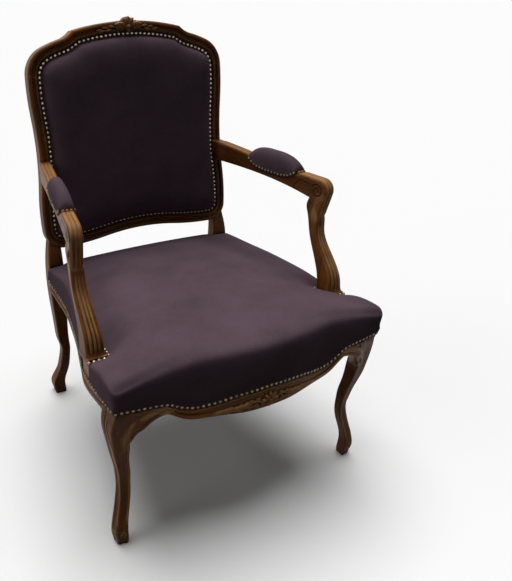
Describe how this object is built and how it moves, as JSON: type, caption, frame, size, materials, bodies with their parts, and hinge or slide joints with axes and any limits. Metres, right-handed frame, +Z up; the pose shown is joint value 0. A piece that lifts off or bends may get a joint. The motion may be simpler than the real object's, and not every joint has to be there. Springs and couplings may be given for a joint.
{
  "type": "armchair",
  "caption": "Open armchair in the Louis XV manner with a moulded walnut frame on cabriole legs, close-nailed seat, flat upholstered back and arm pads.",
  "frame": {"origin": "on the floor under the middle of the chair's box", "axes": "+Z up, +X across the seat, front of the chair towards -Y"},
  "size_m": [0.6536, 0.6982, 0.9759],
  "materials": {
    "walnut": "satin",
    "hidden_wood": "matte",
    "cloth": "matte",
    "jute": "matte",
    "brass": "satin"
  },
  "bodies": {
    "root": {"arm_left": "walnut", "arm_pad_left": "cloth", "arm_pad_right": "cloth", "arm_right": "walnut", "arm_support_left": "walnut", "arm_support_right": "walnut", "back_burlap": "jute", "back_cushion": "cloth", "back_webbing_crosswise": "jute", "back_webbing_upright": "jute", "crest_rail": "walnut", "front_corner_block_left": "hidden_wood", "front_corner_block_right": "hidden_wood", "front_leg_left": "walnut", "front_leg_right": "walnut", "front_seat_rail": "walnut", "lower_back_rail": "walnut", "outside_back_cover": "cloth", "rear_corner_block_left": "hidden_wood", "rear_corner_block_right": "hidden_wood", "rear_leg_left": "walnut", "rear_leg_right": "walnut", "rear_seat_rail": "hidden_wood", "seat_burlap": "jute", "seat_cushion": "cloth", "seat_webbing_crosswise": "jute", "seat_webbing_lengthwise": "jute", "side_seat_rail_left": "walnut", "side_seat_rail_right": "walnut"}
  },
  "joints": []
}
